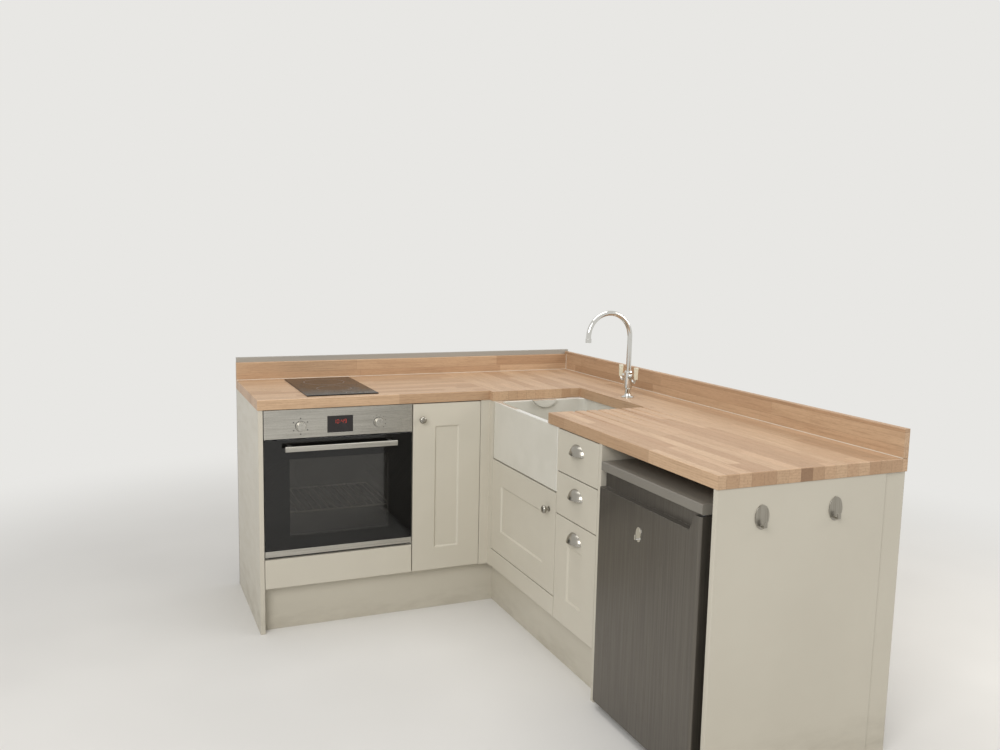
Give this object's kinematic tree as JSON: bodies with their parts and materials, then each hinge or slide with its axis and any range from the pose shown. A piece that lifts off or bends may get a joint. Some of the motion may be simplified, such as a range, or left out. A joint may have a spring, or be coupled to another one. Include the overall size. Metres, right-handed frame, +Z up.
{
  "type": "fitted kitchen",
  "caption": "L-shaped fitted kitchen with timber worktops, framed doors, oven, hob, butler sink, tap, drawers and an under-counter fridge.",
  "frame": {"origin": "on the floor, in the middle of the kitchen's bounding box", "axes": "+X towards the window wall behind the sink run, +Y towards the back of the peninsula, +Z up; the peninsula's doors face -Y and the sink run's doors face -X"},
  "size_m": [1.636, 2.198, 1.29],
  "materials": {
    "timber": "oiled block timber",
    "painted_panel": "satin paint on board",
    "painted_front": "satin paint on framed board",
    "white_board": "white faced board",
    "leg_plastic": "black moulded plastic",
    "fireclay": "white glaze",
    "bright_chrome": "polished",
    "satin_steel": "brushed",
    "zinc_steel": "zinc plated",
    "black_glass": "gloss black glass",
    "dark_enamel": "dark grey enamel",
    "fridge_finish": "dark brushed lacquered steel",
    "white_moulding": "white moulded lining",
    "fridge_case": "grey painted steel",
    "clear_glass": "clear toughened glass"
  },
  "bodies": {
    "kitchen": {"cabinet_legs": "leg_plastic", "ceramic_sink": "fireclay", "corner_post": "painted_front", "drawer_carcase": "white_board", "drawer_runners": "zinc_steel", "end_filler_strip": "painted_panel", "end_panel_hooks": "satin_steel", "fridge_cabinet": "fridge_case", "fridge_hinges": "zinc_steel", "fridge_shelves": "clear_glass", "fridge_side_panel": "painted_panel", "fridge_top": "fridge_case", "hob": "black_glass", "left_end_panel": "painted_panel", "narrow_carcase": "white_board", "oven_body": "dark_enamel", "oven_carcase": "white_board", "oven_clock": "black_glass", "oven_fascia": "satin_steel", "oven_filler_panel": "painted_front", "oven_shelf": "bright_chrome", "peninsula_back_panel": "painted_panel", "peninsula_plinth": "painted_panel", "peninsula_upstand": "timber", "peninsula_worktop": "timber", "right_end_panel": "painted_panel", "sink_carcase": "white_board", "sink_rail": "painted_front", "sink_waste": "bright_chrome", "tap_body": "bright_chrome", "wall_plinth": "painted_panel", "wall_upstand": "timber", "wall_worktop": "timber"},
    "oven_door": {"oven_door_glass": "black_glass", "oven_door_frame": "dark_enamel", "oven_door_trim": "satin_steel", "oven_door_handle": "satin_steel"},
    "oven_knob_left": {"oven_knob_left": "satin_steel"},
    "oven_knob_right": {"oven_knob_right": "satin_steel"},
    "narrow_door": {"narrow_door": "painted_front", "narrow_door_hinges": "zinc_steel", "narrow_door_knob": "bright_chrome"},
    "sink_door": {"sink_door": "painted_front", "sink_door_hinges": "zinc_steel", "sink_door_knob": "bright_chrome"},
    "drawer_1": {"drawer_front_1": "painted_front", "drawer_box_1": "white_board", "cup_handle_1": "bright_chrome"},
    "drawer_2": {"drawer_front_2": "painted_front", "drawer_box_2": "white_board", "cup_handle_2": "bright_chrome"},
    "drawer_3": {"drawer_front_3": "painted_front", "drawer_box_3": "white_board", "cup_handle_3": "bright_chrome"},
    "fridge_door": {"fridge_door": "fridge_finish", "fridge_door_liner": "white_moulding", "fridge_door_hook": "satin_steel"},
    "tap_spout": {"tap_spout": "bright_chrome"},
    "tap_lever_left": {"tap_lever_left": "bright_chrome"},
    "tap_lever_right": {"tap_lever_right": "bright_chrome"}
  },
  "joints": [
    {"name": "oven_door_hinge", "type": "hinge", "parent": "kitchen", "child": "oven_door", "pos_m": [-0.497, 0.497, 0.317], "axis": [1, 0, 0], "range_deg": [0, 90]},
    {"name": "oven_knob_left_turn", "type": "hinge", "parent": "kitchen", "child": "oven_knob_left", "pos_m": [-0.653, 0.488, 0.826], "axis": [0, 1, 0], "continuous": true},
    {"name": "oven_knob_right_turn", "type": "hinge", "parent": "kitchen", "child": "oven_knob_right", "pos_m": [-0.341, 0.488, 0.826], "axis": [0, 1, 0], "range_deg": [0, 270]},
    {"name": "narrow_door_hinge", "type": "hinge", "parent": "kitchen", "child": "narrow_door", "pos_m": [0.101, 0.488, 0.537], "axis": [0, 0, 1], "range_deg": [0, 90]},
    {"name": "sink_door_hinge", "type": "hinge", "parent": "kitchen", "child": "sink_door", "pos_m": [0.143, 0.448, 0.4555], "axis": [0, 0, 1], "range_deg": [-90, 0]},
    {"name": "drawer_1_slide", "type": "slide", "parent": "kitchen", "child": "drawer_1", "axis": [-1, 0, 0], "range_m": [0, 0.4]},
    {"name": "drawer_2_slide", "type": "slide", "parent": "kitchen", "child": "drawer_2", "axis": [-1, 0, 0], "range_m": [0, 0.4]},
    {"name": "drawer_3_slide", "type": "slide", "parent": "kitchen", "child": "drawer_3", "axis": [-1, 0, 0], "range_m": [0, 0.4]},
    {"name": "fridge_door_hinge", "type": "hinge", "parent": "kitchen", "child": "fridge_door", "pos_m": [0.146, -1.023, 0.419], "axis": [0, 0, 1], "range_deg": [0, 100]},
    {"name": "tap_swivel", "type": "hinge", "parent": "kitchen", "child": "tap_spout", "pos_m": [0.613, 0.158, 1.045], "axis": [0, 0, 1], "range_deg": [-90, 90]},
    {"name": "tap_lever_left_turn", "type": "hinge", "parent": "kitchen", "child": "tap_lever_left", "pos_m": [0.613, 0.182, 1.022], "axis": [0, -1, 0], "range_deg": [0, 90]},
    {"name": "tap_lever_right_turn", "type": "hinge", "parent": "kitchen", "child": "tap_lever_right", "pos_m": [0.613, 0.134, 1.022], "axis": [0, -1, 0], "range_deg": [0, 90]}
  ]
}
